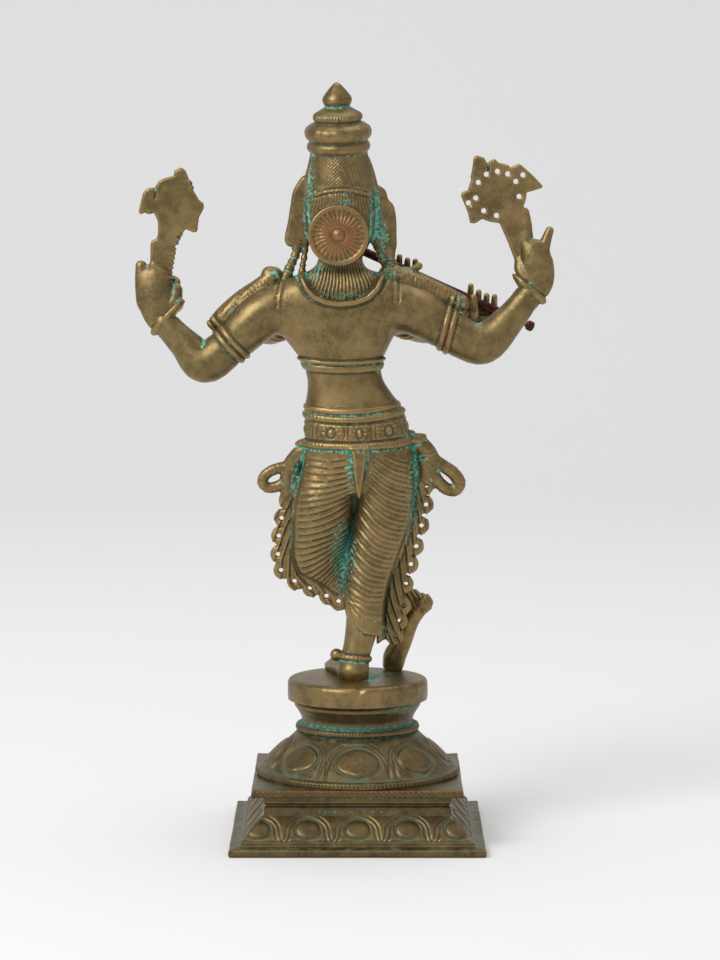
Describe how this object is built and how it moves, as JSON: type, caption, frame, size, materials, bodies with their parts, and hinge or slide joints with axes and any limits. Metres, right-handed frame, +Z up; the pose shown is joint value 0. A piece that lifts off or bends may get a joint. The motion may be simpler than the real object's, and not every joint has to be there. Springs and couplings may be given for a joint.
{
  "type": "cast metal figurine",
  "caption": "Cast metal figurine of a standing flute player with raised emblems, crossed legs and a tall crown, on a square lotus pedestal, finished on every side.",
  "frame": {"origin": "The middle of the pedestal's underside", "axes": "+Z up, +Y the way the figure faces, +X to the figure's right"},
  "size_m": [0.1664, 0.1004, 0.3],
  "materials": {
    "pedestal_bronze": "cast, dark brown with green patina",
    "figure_bronze": "cast and chased, rubbed brown with green patina in the hollows",
    "flute_copper": "dark red-brown copper rod"
  },
  "bodies": {
    "root": {"pedestal": "pedestal_bronze", "figure": "figure_bronze", "flute": "flute_copper"}
  },
  "joints": []
}
